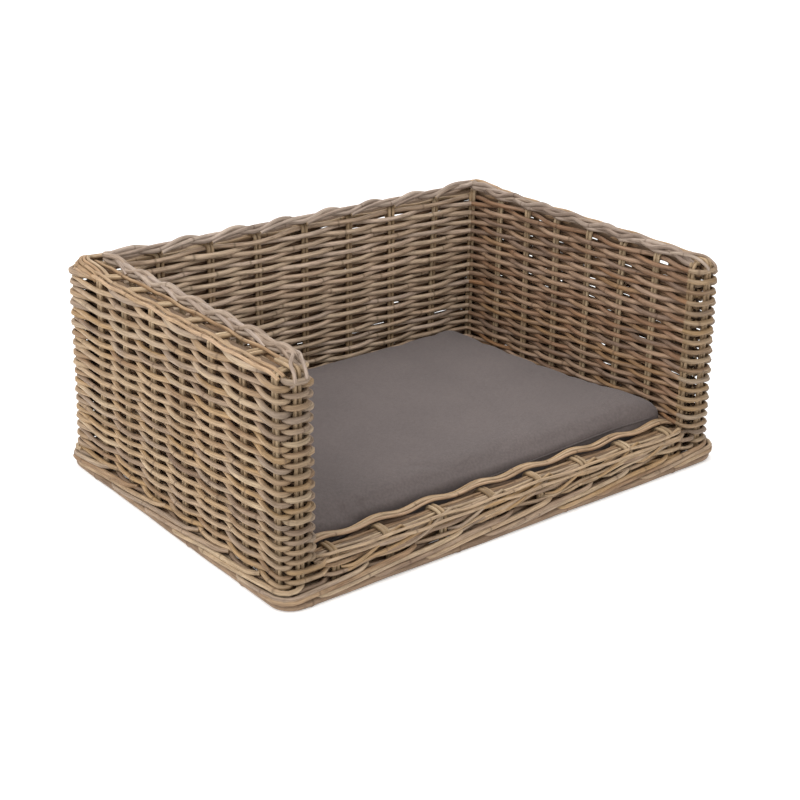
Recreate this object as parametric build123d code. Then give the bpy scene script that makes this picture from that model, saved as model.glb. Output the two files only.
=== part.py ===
from build123d import *
import math
import os

# A pet bed of woven cane: a double-walled basket with a low front, and a loose box cushion.
# Millimetres. Origin at the centre of the footprint on the floor, +X to the right, +Y to the back, +Z up.

# Overall sizes
width = 900.0  # over the foot pole
depth = 650.0
height = 370.0  # to the top of the inner border of the arms and the back
front_height = 78.0  # to the top of the front rail
lean = 6.0  # how far an outer face moves inwards between the floor and the full height

# Canes
foot_r = 8.0
foot_flat = 0.6  # how much the underside of the foot pole is planed away
foot_corner_r = 35.0
cross_pole_r = 6.5
cross_pole_count = 4
cross_pole_spread = 0.8  # of the inner width
frame_r = 7.0  # hidden posts and rails
stake_r = 3.25
stake_gap = 0.7  # between the two canes of a pair
stake_bend_r = 9.0
outer_border_r = 4.0
inner_border_r = 8.0
front_border_r = 4.0

# Woven skins
skin = 18.0  # thickness of one woven skin, over the weavers
arm_slack = 10.0  # room beside the hidden rail in an arm
back_slack = 2.0
rail_slack = 4.0
corner_r = 27.0  # outside corners of the woven walls
wale_proud = 7.0  # how far the base wale stands out from the skins
wale_height = 20.0
foot_over_wale = 2.0  # how far the foot pole stands out from the wale
bend_clear = 1.5  # between the top of a skin and the bends of its stakes
base_weave = 8.0

# Stakes
back_intervals = 8  # between the two inner corners
arm_intervals = 7  # between the back corner and the arm's nose
front_pairs = 8
front_pair_margin = 29.0  # from the inner face of an arm to the first pair of the front rail
nose_run = 45.0  # how far the middle pair of a nose runs back over the arm
nose_post_gap = 6.0  # between a nose's skin and its hidden post
tunnel_lead = 4.0  # how far below a stake its tunnel in a skin begins

# Cushion
cushion_gap_side = 15.0
cushion_gap_front = 12.0
cushion_gap_back = 12.0
cushion_skew = 42.0  # how much further the right edge lies from the arm at the back than at the front
cushion_thickness = 74.0
cushion_corner_r = 28.0
cover = 2.5  # cloth with its wadding
zip_length = 480.0
zip_width = 22.0
zip_thickness = 1.6
zip_end_margin = 8.0
zip_corner_gap = 20.0  # from the end of the cushion's rounded corner to the zip
slider_length = 14.0
slider_width = 9.0
slider_thickness = 3.0
pull_length = 22.0
pull_width = 6.0
pull_thickness = 1.2

# Clearances
fit = 0.25  # round canes in the skins, and skin against skin
lay = 0.3  # between the cushion and the base, and the zip's slider and its tape

# Worked out from the sizes above
foot_proud = wale_proud + foot_over_wale  # from the skins to the outside of the foot pole
arm_thickness = 2 * skin + 2 * frame_r + lean + arm_slack  # at the foot, between the woven faces
back_thickness = 2 * skin + 2 * frame_r + lean + back_slack
rail_thickness = 2 * skin + 2 * frame_r + rail_slack
foot_top = 2 * foot_r - foot_flat
base_top = foot_top + base_weave
inner_x = width / 2 - foot_proud - arm_thickness
inner_back = depth / 2 - foot_proud - back_thickness
inner_front = depth / 2 - foot_proud - rail_thickness
hoop_top = height - 2 * inner_border_r - stake_r  # centre of the stakes where they run over the top
front_hoop_top = front_height - 2 * front_border_r - stake_r
skin_top = hoop_top - stake_bend_r - bend_clear
front_skin_top = front_hoop_top - stake_bend_r - bend_clear
pair_half = stake_r + stake_gap / 2
frame_z = hoop_top - stake_r - frame_r - fit
front_frame_z = front_hoop_top - stake_r - frame_r - fit


def leaned(z):
    """How far an outer face has moved inwards at this height."""
    return lean * z / height


def hx(z):
    """Half of the width over the woven skins."""
    return width / 2 - foot_proud - leaned(z)


def hy(z):
    """Half of the depth over the woven skins."""
    return depth / 2 - foot_proud - leaned(z)


def outline(points, z):
    """A face at height z. A point is (x, y), or (x, y, cx, cy) where an arc about (cx, cy) leads to it."""
    edges = []
    last = points[-1]
    for point in points:
        start = Vector(last[0], last[1], z)
        end = Vector(point[0], point[1], z)
        if len(point) == 4:
            centre = Vector(point[2], point[3], z)
            middle = (start + end) * 0.5 - centre
            middle = centre + middle.normalized() * (end - centre).length
            edges.append(Edge.make_three_point_arc(start, middle, end))
        else:
            edges.append(Edge.make_line(start, end))
        last = point
    return Face(Wire(edges))


def between(plan, z0, z1):
    """The solid between a plan at z0 and the same plan at z1."""
    return loft([outline(plan(z0), z0), outline(plan(z1), z1)], ruled=True)


def corner_band(z, outer, inner, sign):
    """An L-shaped band round both corners of one long side; sign is +1 at the back and -1 at the front."""
    x = hx(z)
    y = hy(z)
    cx = x - corner_r
    cy = sign * (y - corner_r)
    return [
        (x + outer, cy),
        (cx, sign * (y + outer), cx, cy),
        (-cx, sign * (y + outer)),
        (-x - outer, cy, -cx, cy),
        (-x - inner, cy),
        (-cx, sign * (y + inner), -cx, cy),
        (cx, sign * (y + inner)),
        (x + inner, cy, cx, cy),
    ]


def side_band(z, outer, inner, side):
    """The straight band of one arm between the corners; side is +1 on the right and -1 on the left."""
    x = hx(z)
    y = hy(z) - corner_r
    return [
        (side * (x + outer), -y),
        (side * (x + outer), y),
        (side * (x + inner), y),
        (side * (x + inner), -y),
    ]


def nose_band(z, side):
    """The band round the front end of an arm, from its outer face to its inner face."""
    x = hx(z)
    y = -hy(z)
    cy = y + corner_r
    out_cx = x - corner_r
    in_cx = inner_x + corner_r
    return [
        (side * x, cy),
        (side * out_cx, y, side * out_cx, cy),
        (side * in_cx, y),
        (side * inner_x, cy, side * in_cx, cy),
        (side * (inner_x + skin), cy),
        (side * in_cx, y + skin, side * in_cx, cy),
        (side * out_cx, y + skin),
        (side * (x - skin), cy, side * out_cx, cy),
    ]


def front_band(z):
    """The outer skin of the front rail, between the two noses."""
    y = -hy(z)
    return [(-inner_x, y), (inner_x, y), (inner_x, y + skin), (-inner_x, y + skin)]


def inner_side_band(z, side):
    """The straight inner skin of an arm; it laps the end of the back's inner skin."""
    front = -hy(z) + corner_r
    back = inner_back + skin
    return [
        (side * inner_x, front),
        (side * inner_x, back),
        (side * (inner_x + skin), back),
        (side * (inner_x + skin), front),
    ]


def block(x0, x1, y0, y1, z0, z1):
    """A box between two corners."""
    size = (abs(x1 - x0), abs(y1 - y0), z1 - z0)
    return Pos((x0 + x1) / 2, (y0 + y1) / 2, (z0 + z1) / 2) * Box(*size)


def cane(points, radius, bend=None):
    """A round cane along a line of points, with each corner bent to one radius."""
    path = FilletPolyline(*points, radius=bend) if bend else Polyline(*points)
    start = path @ 0
    section = Plane(origin=start, z_dir=path % 0) * Circle(radius)
    return sweep(section, path=path)


def straight(start, end, radius):
    """A straight cane between two points."""
    axis = Vector(*end) - Vector(*start)
    upright = (Align.CENTER, Align.CENTER, Align.MIN)
    return Plane(origin=start, z_dir=axis) * Cylinder(radius, axis.length, align=upright)


class Hoop:
    """One cane of a stake pair: up the outer skin, over the top and down the inner skin."""

    def __init__(self, foot, shoulder, inner_shoulder, inner_foot):
        self.points = [foot, shoulder, inner_shoulder, inner_foot]

    def solid(self):
        return cane(self.points, stake_r, stake_bend_r)

    def tunnels(self):
        """What the skins give up so that the cane passes through them."""
        result = []
        for low, high in ((self.points[0], self.points[1]), (self.points[3], self.points[2])):
            along = Vector(*high) - Vector(*low)
            start = Vector(*low) - along * (tunnel_lead / along.length)
            result.append(straight(tuple(start), high, stake_r + fit))
        return result


def pair_offsets(direction):
    """The two offsets of a pair's canes along a horizontal direction."""
    x, y = direction
    return [(k * pair_half * x, k * pair_half * y) for k in (-1, 1)]


def hoop_pair(outer, inner, direction, top):
    """Two hoops side by side. outer and inner give (x, y) of the legs at a height."""
    foot_z = foot_top + fit
    inner_z = base_top + fit
    hoops = []
    for dx, dy in pair_offsets(direction):
        legs = [(outer, foot_z), (outer, top), (inner, top), (inner, inner_z)]
        points = []
        for leg, z in legs:
            x, y = leg(z)
            points.append((x + dx, y + dy, z))
        hoops.append(Hoop(*points))
    return hoops


def corner_leg(side, z):
    """Where the outer pair of a back corner stands."""
    reach = (corner_r - skin / 2) * math.sqrt(0.5)
    return (side * (hx(z) - corner_r + reach), hy(z) - corner_r + reach)


def nose_leg_y(z):
    """Where the outer and inner pairs of a nose stand along Y."""
    return -hy(z) + corner_r


def back_hoops():
    """The pairs of the back wall. Their legs stand evenly between the corners on each face."""
    inner_half = inner_x + skin / 2
    hoops = []
    for k in range(1, back_intervals):
        share = 2 * k / back_intervals - 1
        hoops += hoop_pair(
            lambda z, share=share: (share * corner_leg(1, z)[0], hy(z) - skin / 2),
            lambda z, share=share: (share * inner_half, inner_back + skin / 2),
            (1, 0),
            hoop_top,
        )
    return hoops


def arm_hoops(side):
    """The pairs of an arm. Their legs stand evenly between the nose and the back corner on each face."""
    inner_end = inner_back + skin / 2
    hoops = []
    for k in range(1, arm_intervals):
        share = k / arm_intervals
        hoops += hoop_pair(
            lambda z, share=share: (
                side * (hx(z) - skin / 2),
                (1 - share) * nose_leg_y(z) + share * corner_leg(1, z)[1],
            ),
            lambda z, share=share: (
                side * (inner_x + skin / 2),
                (1 - share) * nose_leg_y(z) + share * inner_end,
            ),
            (0, 1),
            hoop_top,
        )
    return hoops


def front_hoops():
    """The pairs of the front rail."""
    first = -(inner_x - front_pair_margin)
    spacing = -2 * first / (front_pairs - 1)
    hoops = []
    for k in range(front_pairs):
        x = first + k * spacing
        hoops += hoop_pair(
            lambda z, x=x: (x, -hy(z) + skin / 2),
            lambda z, x=x: (x, -inner_front - skin / 2),
            (1, 0),
            front_hoop_top,
        )
    return hoops


def corner_hoops(side):
    """The pair that stands in a back corner, from the outer corner to the inner one."""
    tangent = (math.sqrt(0.5), -side * math.sqrt(0.5))
    return hoop_pair(
        lambda z: corner_leg(side, z),
        lambda z: (side * (inner_x + skin / 2), inner_back + skin / 2),
        tangent,
        hoop_top,
    )


def nose_hoops(side):
    """The outer and inner pairs of an arm's nose, one hoop across the arm."""
    return hoop_pair(
        lambda z: (side * (hx(z) - skin / 2), nose_leg_y(z)),
        lambda z: (side * (inner_x + skin / 2), nose_leg_y(z)),
        (0, 1),
        hoop_top,
    )


def nose_canes(side):
    """The middle pair of the nose, up its front and back over the nose hoop."""
    over = hoop_top + 2 * stake_r + fit
    canes = []
    for dx, _ in pair_offsets((1, 0)):
        def point(z, dx=dx):
            return (side * (hx(z) + inner_x) / 2 + dx, -hy(z) + skin / 2, z)

        top = point(over)
        canes.append([point(foot_top + fit), top, (top[0], top[1] + nose_run, over)])
    return canes


def cut_all(panel, tools):
    """A panel less every tool that reaches it."""
    box = panel.bounding_box()
    near = []
    for tool in tools:
        other = tool.bounding_box()
        apart = (
            box.min.X > other.max.X
            or other.min.X > box.max.X
            or box.min.Y > other.max.Y
            or other.min.Y > box.max.Y
        )
        if not apart:
            near.append(tool)
    return panel - near if near else panel


# ---- foot and base ----

foot_line_x = width - 2 * foot_r
foot_line_y = depth - 2 * foot_r
foot_z = foot_r - foot_flat


def foot_ring():
    """The foot pole: one thick cane bent round the whole base, planed flat underneath."""
    line = RectangleRounded(foot_line_x, foot_line_y, foot_corner_r - foot_r).wire()
    path = Pos(0, 0, foot_z) * line
    section = Plane(origin=path @ 0, z_dir=path % 0) * Circle(foot_r)
    ring = sweep(section, path=path)
    return ring - block(-width, width, -depth, depth, -foot_r, 0)


def base_poles(ring):
    """The poles under the woven base, from the front of the foot pole to its back."""
    z = foot_top - cross_pole_r
    spacing = 2 * inner_x / (cross_pole_count - 1) * cross_pole_spread
    poles = []
    for k in range(cross_pole_count):
        x = (k - (cross_pole_count - 1) / 2) * spacing
        pole = straight((x, -foot_line_y / 2, z), (x, foot_line_y / 2, z), cross_pole_r)
        cut = pole - ring
        poles.append(max(cut.solids(), key=lambda solid: solid.volume))
    return Compound(children=poles)


def base_panel(grown=0.0):
    """The woven base, inside the outer skins, or the room that it needs when grown."""
    inset = skin + fit - grown
    size_x = 2 * (hx(base_top) - inset)
    size_y = 2 * (hy(base_top) - inset)
    plate = extrude(RectangleRounded(size_x, size_y, corner_r - inset), base_weave)
    return Pos(0, 0, foot_top) * plate


def wale(side_name):
    """One side of the base wale; the front and the back take the corners."""
    z0 = foot_top
    z1 = foot_top + wale_height
    if side_name in ("front", "back"):
        sign = 1 if side_name == "back" else -1
        return between(lambda z: corner_band(z, wale_proud, fit, sign), z0, z1)
    side = 1 if side_name == "right" else -1
    return between(lambda z: side_band(z, wale_proud, fit, side), z0, z1)


# ---- borders, rails and posts ----


def rows(count, radius, first, step):
    """The places of canes that lie side by side."""
    return [first + step * k * (2 * radius + fit) for k in range(count)]


def border_line(half):
    """The middle of the outermost cane of an outer border, from half of the width or of the depth."""
    return half - skin / 2 - stake_bend_r + outer_border_r / 2


def arm_outer_border(side):
    """Two canes along the outer top edge of an arm, over the stakes."""
    z = hoop_top + stake_r + outer_border_r
    first = border_line(hx(z))
    front = -hy(z) + skin / 2 + nose_run + stake_r
    back = hy(z) - skin
    canes = []
    for x in rows(2, outer_border_r, first, -1):
        canes.append(straight((side * x, front, z), (side * x, back, z), outer_border_r))
    return Compound(children=canes)


def back_outer_border():
    """Two canes along the outer top edge of the back, between those of the arms."""
    z = hoop_top + stake_r + outer_border_r
    first = border_line(hy(z))
    end = border_line(hx(z)) - 3 * outer_border_r - 2 * fit
    canes = []
    for y in rows(2, outer_border_r, first, -1):
        canes.append(straight((-end, y, z), (end, y, z), outer_border_r))
    return Compound(children=canes)


def front_border(first_y, step):
    """Two canes along the top of the front rail, from arm to arm."""
    z = front_hoop_top + stake_r + front_border_r
    canes = []
    for y in rows(2, front_border_r, first_y, step):
        canes.append(straight((-inner_x + fit, y, z), (inner_x - fit, y, z), front_border_r))
    return Compound(children=canes)


def arm_inner_border(side):
    """The thick border along the inner top edge of an arm."""
    x = side * (inner_x + inner_border_r)
    z = height - inner_border_r
    front = -hy(z) + skin + stake_r
    return straight((x, front, z), (x, inner_back + skin, z), inner_border_r)


def back_inner_border():
    """The thick border along the inner top edge of the back."""
    y = inner_back + inner_border_r
    z = height - inner_border_r
    end = inner_x - fit
    return straight((-end, y, z), (end, y, z), inner_border_r)


def cavity_x(z):
    """The middle of an arm's cavity."""
    return (hx(z) - skin + inner_x + skin) / 2


def cavity_y(z):
    """The middle of the back's cavity."""
    return (hy(z) - skin + inner_back + skin) / 2


arm_frame_x = cavity_x(frame_z)
back_frame_y = cavity_y(frame_z)
nose_frame_y = -(hy(frame_z) - skin - frame_r - nose_post_gap)


def arm_rail_end():
    """How far back an arm's rail reaches, up to the rounded inside of the back corner."""
    z = frame_z + frame_r
    inside_r = corner_r - skin
    over = min(inside_r, max(0.0, arm_frame_x + frame_r - (hx(z) - corner_r)))
    return hy(z) - corner_r + math.sqrt(inside_r**2 - over**2) - fit


def arm_rail(side):
    """The hidden rail under the top of an arm."""
    x = side * arm_frame_x
    return straight((x, nose_frame_y - frame_r, frame_z), (x, arm_rail_end(), frame_z), frame_r)


def back_rail():
    """The hidden rail under the top of the back, between those of the arms."""
    end = arm_frame_x - frame_r - fit
    return straight((-end, back_frame_y, frame_z), (end, back_frame_y, frame_z), frame_r)


def front_rail():
    """The hidden rail in the front rail, lying on the woven base."""
    y = -(hy(front_frame_z) - skin + inner_front + skin) / 2
    end = inner_x - fit
    return straight((-end, y, front_frame_z), (end, y, front_frame_z), frame_r)


def post(x, y):
    """A hidden post from the woven base to the rail above it."""
    return straight((x, y, base_top), (x, y, frame_z - frame_r), frame_r)


# ---- cushion ----

cushion_z = base_top + lay
cushion_front = -inner_front + cushion_gap_front
cushion_back = inner_back - cushion_gap_back
cushion_left = -inner_x + cushion_gap_side
cushion_right = inner_x - cushion_gap_side


def cushion_plan(inset):
    """The cushion's outline: its right edge lies further in at the back than at the front."""
    slope = cushion_skew / (cushion_back - cushion_front)
    right_inset = inset * math.sqrt(1 + slope * slope)
    front = cushion_front + inset
    back = cushion_back - inset

    def right(y):
        return cushion_right - slope * (y - cushion_front) - right_inset

    corners = [
        (cushion_left + inset, front),
        (right(front), front),
        (right(back), back),
        (cushion_left + inset, back),
    ]
    shape = make_face(Polyline(*corners, close=True))
    return fillet(shape.vertices(), cushion_corner_r - inset)


def cushion_slab(inset, z0, z1):
    """A slab of the cushion between two heights above its underside."""
    return Pos(0, 0, cushion_z + z0) * extrude(cushion_plan(inset), z1 - z0)


zip_x0 = cushion_left + cushion_corner_r + zip_corner_gap
zip_z = cushion_z + cushion_thickness / 2


def zip_tape():
    """The zip's tape with its teeth, along the back of the cushion's side band."""
    return block(
        zip_x0,
        zip_x0 + zip_length,
        cushion_back,
        cushion_back + zip_thickness,
        zip_z - zip_width / 2,
        zip_z + zip_width / 2,
    )


def zip_slider():
    """The zip's slider with its pull, at the left end of the tape."""
    y0 = cushion_back + zip_thickness + lay
    x0 = zip_x0 + zip_end_margin
    body = block(
        x0,
        x0 + slider_length,
        y0,
        y0 + slider_thickness,
        zip_z - slider_width / 2,
        zip_z + slider_width / 2,
    )
    body = fillet(body.edges().filter_by(Axis.Y), slider_width / 4)
    y1 = y0 + slider_thickness
    pull = block(
        x0 + slider_length / 2 - pull_width / 2,
        x0 + slider_length / 2 + pull_width / 2,
        y1,
        y1 + pull_thickness,
        zip_z - pull_length,
        zip_z + slider_width / 4,
    )
    pull = fillet(pull.edges().filter_by(Axis.Y), pull_width / 4)
    return body + pull


# ---- assembly ----

nodes = {}

ring = foot_ring()
nodes["foot_rail"] = ring
nodes["base_cross_poles"] = base_poles(ring)
nodes["base_weave"] = base_panel()
for name in ("front", "back", "left", "right"):
    nodes[f"wale_{name}"] = wale(name)

hoop_groups = {
    "back_stakes": back_hoops(),
    "left_arm_stakes": arm_hoops(-1),
    "right_arm_stakes": arm_hoops(1),
    "front_rail_stakes": front_hoops(),
    "left_corner_stakes": corner_hoops(-1),
    "right_corner_stakes": corner_hoops(1),
    "left_nose_stakes": nose_hoops(-1),
    "right_nose_stakes": nose_hoops(1),
}
tunnels = []
for name, hoops in hoop_groups.items():
    solids = [hoop.solid() for hoop in hoops]
    for hoop in hoops:
        tunnels += hoop.tunnels()
    side = {"left_nose_stakes": -1, "right_nose_stakes": 1}.get(name)
    if side:
        for points in nose_canes(side):
            solids.append(cane(points, stake_r, stake_bend_r))
            tunnels.append(straight(points[0], points[1], stake_r + fit))
    nodes[name] = Compound(children=[solid.solid() for solid in solids])

skins = {
    "back_outer_skin": between(lambda z: corner_band(z, 0, -skin, 1), foot_top, skin_top),
    "back_inner_skin": block(-inner_x, inner_x, inner_back, inner_back + skin, base_top, skin_top),
    "front_rail_outer_skin": between(
        front_band,
        foot_top,
        front_skin_top,
    ),
    "front_rail_inner_skin": block(
        -inner_x, inner_x, -inner_front - skin, -inner_front, base_top, front_skin_top
    ),
}
for name, side in (("left_arm", -1), ("right_arm", 1)):
    skins[f"{name}_outer_skin"] = between(lambda z: side_band(z, 0, -skin, side), foot_top, skin_top)
    skins[f"{name}_inner_skin"] = between(lambda z: inner_side_band(z, side), base_top, skin_top)
    nose = between(lambda z: nose_band(z, side), foot_top, skin_top)
    skins[f"{name}_nose_skin"] = (nose - base_panel(fit / 2)).solids().sort_by(SortBy.VOLUME)[-1]
for name, panel in skins.items():
    nodes[name] = cut_all(panel, tunnels)

nodes["back_top_rail"] = back_rail()
nodes["front_top_rail"] = front_rail()
nodes["back_outer_border"] = back_outer_border()
nodes["back_inner_border"] = back_inner_border()
border_y = -(hy(front_height) - skin / 2 - stake_bend_r - front_border_r / 2)
nodes["front_rail_outer_border"] = front_border(border_y, 1)
nodes["front_rail_inner_border"] = front_border(-inner_front - front_border_r, -1)
for name, side in (("left", -1), ("right", 1)):
    nodes[f"{name}_arm_top_rail"] = arm_rail(side)
    nodes[f"{name}_arm_outer_border"] = arm_outer_border(side)
    nodes[f"{name}_arm_inner_border"] = arm_inner_border(side)
    nodes[f"back_{name}_post"] = post(side * arm_frame_x, back_frame_y)
    nodes[f"front_{name}_post"] = post(side * arm_frame_x, nose_frame_y)

nodes["cushion_filling"] = cushion_slab(cover, cover, cushion_thickness - cover)
nodes["cushion_bottom_panel"] = cushion_slab(0, 0, cover)
nodes["cushion_top_panel"] = cushion_slab(0, cushion_thickness - cover, cushion_thickness)
band = cushion_slab(0, cover, cushion_thickness - cover)
nodes["cushion_side_band"] = band - nodes["cushion_filling"]
nodes["cushion_zip_tape"] = zip_tape()
nodes["cushion_zip_slider"] = zip_slider()

os.makedirs("parts", exist_ok=True)
for name, shape in nodes.items():
    shape.label = name
    export_step(shape, f"parts/{name}.step")
    print(name, len(shape.solids()), round(sum(solid.volume for solid in shape.solids())))
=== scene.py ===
import math

import bmesh
import bpy
import numpy as np
from mathutils import Matrix, Vector
from mathutils.bvhtree import BVHTree


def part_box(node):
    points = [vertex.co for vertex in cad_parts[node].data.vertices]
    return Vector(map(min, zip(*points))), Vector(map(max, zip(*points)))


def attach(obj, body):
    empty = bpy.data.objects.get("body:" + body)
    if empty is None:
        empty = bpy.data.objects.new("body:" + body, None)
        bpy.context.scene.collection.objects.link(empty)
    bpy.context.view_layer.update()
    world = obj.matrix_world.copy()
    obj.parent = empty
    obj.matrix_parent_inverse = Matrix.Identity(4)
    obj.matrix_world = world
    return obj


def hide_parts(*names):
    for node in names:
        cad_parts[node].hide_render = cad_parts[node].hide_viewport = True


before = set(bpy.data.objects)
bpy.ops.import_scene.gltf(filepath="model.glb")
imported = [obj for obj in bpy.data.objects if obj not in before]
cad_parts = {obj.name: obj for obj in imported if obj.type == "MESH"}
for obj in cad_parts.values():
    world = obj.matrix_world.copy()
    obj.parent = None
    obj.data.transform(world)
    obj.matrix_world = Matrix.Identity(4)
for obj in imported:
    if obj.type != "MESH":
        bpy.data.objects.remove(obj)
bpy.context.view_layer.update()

# ---- sizes read from the frame, in metres ----

inner_low, inner_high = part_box("back_inner_skin")
back_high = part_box("back_outer_skin")[1]
arm_low, arm_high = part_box("right_arm_outer_skin")
foot_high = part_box("foot_rail")[1]

SKIN = inner_high.y - inner_low.y
HALF_SKIN = SKIN / 2
INNER_X = inner_high.x
INNER_BACK = inner_low.y
INNER_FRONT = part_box("front_rail_inner_skin")[1].y
FOOT_TOP = arm_low.z
SLOPE = (arm_high.x - arm_low.x - SKIN) / (arm_high.z - arm_low.z)
CORNER_R = back_high.y - arm_high.y
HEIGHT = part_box("back_inner_border")[1].z
STAKE_R = 0.00325
STAKE_GAP = 0.0007
BEND_R = 0.009
HOOP_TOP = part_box("back_stakes")[1].z - STAKE_R
FRONT_HOOP_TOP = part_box("front_rail_stakes")[1].z - STAKE_R
WALE_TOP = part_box("wale_front")[1].z

# ---- sizes of the weave ----

# ARM_INTERVALS and BACK_INTERVALS are the spaces between pairs, STEP and FLAT the samples of a weaver
# and its straight stretch in front of a pair, and CORNER_TUCK how far a weaver sinks behind a corner pair.
ARM_INTERVALS = 7
BACK_INTERVALS = 8
FRONT_PAIRS = 8
FRONT_PAIR_MARGIN = 0.029
INNER_CORNER_R = 0.016
TURN_R = 0.011
STEP = 0.0065
FLAT = 0.0045
SIDES = 8
FOOT_CORNER_R = 0.035
CORNER_TUCK = 0.45
HALVES = ((-1, "left"), (1, "right"))

rng = np.random.default_rng(20411)


def hx(z):
    """Half of the width over the woven skins at this height."""
    return arm_high.x - SLOPE * (z - FOOT_TOP)


def hy(z):
    """Half of the depth over the woven skins at this height."""
    return back_high.y - SLOPE * (z - FOOT_TOP)


# ---- plan lines of the woven walls ----


def arc(cx, cy, radius, start, end):
    """Points of an arc in plan, between two angles in degrees."""
    count = max(4, int(abs(end - start) / 6))
    angles = np.radians(np.linspace(start, end, count))
    return [(cx + radius * math.cos(a), cy + radius * math.sin(a)) for a in angles]


def corners(x, low, high, radius, start, step, count=4):
    """Arcs round the corners of a box in plan, one after another from the angle start on."""
    points = []
    for k in range(count):
        angle = start + step * k
        middle = math.radians(angle + step / 2)
        cx = math.copysign(x - radius, math.cos(middle))
        cy = high - radius if math.sin(middle) > 0 else low + radius
        points += arc(cx, cy, radius, angle, angle + step)
    return points


def unit(rows):
    """The rows of an array, each made one long."""
    return rows / np.linalg.norm(rows, axis=1)[:, None]


def distance(line):
    """How far along a line each of its points is."""
    return np.concatenate([[0], np.cumsum(np.linalg.norm(np.diff(line, axis=0), axis=1))])


def sample(s, along, rows):
    """The rows of an array at the distances s, where along has the distance of each row."""
    return np.stack([np.interp(s, along, column) for column in rows.T], axis=1)


def dense(points, closed):
    """The same line with points 2 mm apart, and the distance along it at each."""
    line = np.array(points + [points[0]] if closed else points, float)
    line = line[np.concatenate([[True], np.linalg.norm(np.diff(line, axis=0), axis=1) > 1e-6])]
    along = distance(line)
    s = np.linspace(0, along[-1], int(along[-1] / 0.002) + 1)
    return s, sample(s, along, line)


def corner_leg(z):
    """Where the outer pair of the right back corner stands."""
    inset = HALF_SKIN + TURN_R * (1 - math.sqrt(0.5))
    return hx(z) - inset, hy(z) - inset


def arm_legs(z, inner):
    """Where the pairs of the right arm stand along Y, from the nose to the back."""
    start = -hy(z) + CORNER_R
    end = INNER_BACK + HALF_SKIN if inner else corner_leg(z)[1]
    return [start + (end - start) * k / ARM_INTERVALS for k in range(1, ARM_INTERVALS)]


def back_legs(z, inner):
    """Where the pairs of the back stand along X, from left to right."""
    end = INNER_X + HALF_SKIN if inner else corner_leg(z)[0]
    return [end * (2 * k / BACK_INTERVALS - 1) for k in range(1, BACK_INTERVALS)]


def front_legs():
    """Where the pairs of the front rail stand along X, from left to right."""
    end = INNER_X - FRONT_PAIR_MARGIN
    return [end * (2 * k / (FRONT_PAIRS - 1) - 1) for k in range(FRONT_PAIRS)]


def mirrored(points):
    """Points of the other half of the basket, in the opposite order."""
    return [(-x, y) for x, y in reversed(points)]


def outer_stakes(z):
    """The outer stakes in order, from the left nose round the back to the right nose."""
    x = hx(z) - HALF_SKIN
    y = hy(z) - HALF_SKIN
    nose_x = (hx(z) + INNER_X) / 2
    nose_y = -hy(z) + CORNER_R
    right = [corner_leg(z)] + [(x, v) for v in reversed(arm_legs(z, False))] + [(x, nose_y), (nose_x, -y)]
    return mirrored(right) + [(u, y) for u in back_legs(z, False)] + right


def inner_stakes(z):
    """The inner stakes in order, from the right nose round the back to the left nose."""
    x = INNER_X + HALF_SKIN
    y = INNER_BACK + HALF_SKIN
    nose_y = -hy(z) + CORNER_R
    right = [(x, nose_y)] + [(x, v) for v in arm_legs(z, True)] + [(x, y)]
    return right + [(u, y) for u in reversed(back_legs(z, True))] + mirrored(right)


def outer_line(z):
    """The middle of the outer skin from the left nose round the back to the right nose."""
    x = hx(z) - HALF_SKIN
    y = hy(z) - HALF_SKIN
    nose_x = (hx(z) + INNER_X) / 2
    return [(-nose_x, -y)] + corners(x, -y, y, TURN_R, 270, -90) + [(nose_x, -y)]


def inner_line(z):
    """The middle of the inner skin from the right nose round the back to the left nose."""
    x = INNER_X + HALF_SKIN
    y = INNER_BACK + HALF_SKIN
    front = -hy(z) + HALF_SKIN
    r = TURN_R
    points = arc(x + r, front + r, r, 270, 180)
    points += corners(x, front, y, INNER_CORNER_R, 0, 90, 2)
    return points + arc(-x - r, front + r, r, 0, -90)


def wall_loop(z):
    """Above the front rail: round the outer skins, a nose, the inner skins and the other nose."""
    return outer_line(z) + inner_line(z), outer_stakes(z) + inner_stakes(z)


def outer_ring(z):
    """Below the top of the front rail: round the whole outside."""
    y = -hy(z) + HALF_SKIN
    x = INNER_X + HALF_SKIN
    stakes = outer_stakes(z) + [(x, y)] + [(u, y) for u in reversed(front_legs())] + [(-x, y)]
    return outer_line(z), stakes


def inner_ring(z):
    """Below the top of the front rail: round the whole inside."""
    x = INNER_X + HALF_SKIN
    y = INNER_BACK + HALF_SKIN
    front = INNER_FRONT - HALF_SKIN
    stakes = inner_stakes(z)[1:-1] + [(u, front) for u in front_legs()]
    return corners(x, front, y, INNER_CORNER_R, -90, 90), stakes


class Line:
    """A closed plan line with the stakes that stand on it."""

    def __init__(self, points, stakes, same=()):
        self.s, self.xy = dense(points, True)
        flips = np.array([k > 0 and k not in same for k in range(len(stakes))])
        self.parity = np.cumsum(flips) % 2
        self.length = self.s[-1]
        self.tight = np.array([abs(x) > INNER_X + SKIN and y > INNER_BACK + SKIN for x, y in stakes])
        found = []
        for x, y in stakes:
            gap = (self.xy[:, 0] - x) ** 2 + (self.xy[:, 1] - y) ** 2
            found.append(self.s[int(np.argmin(gap))])
        self.stakes = np.array(found)
        tangent = unit(np.roll(self.xy[:-1], -3, axis=0) - np.roll(self.xy[:-1], 3, axis=0))
        normal = np.stack([-tangent[:, 1], tangent[:, 0]], axis=1)
        self.normal = np.concatenate([normal, normal[:1]])

    def at(self, s):
        """Plan points and outward normals at distances along the line, which may pass its ends."""
        s = np.mod(s, self.length)
        return sample(s, self.s, self.xy), unit(sample(s, self.s, self.normal))


# ---- cane meshes ----


def link(name, data):
    """A new object in the scene with this mesh, light or camera."""
    obj = bpy.data.objects.new(name, data)
    bpy.context.scene.collection.objects.link(obj)
    return obj


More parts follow.
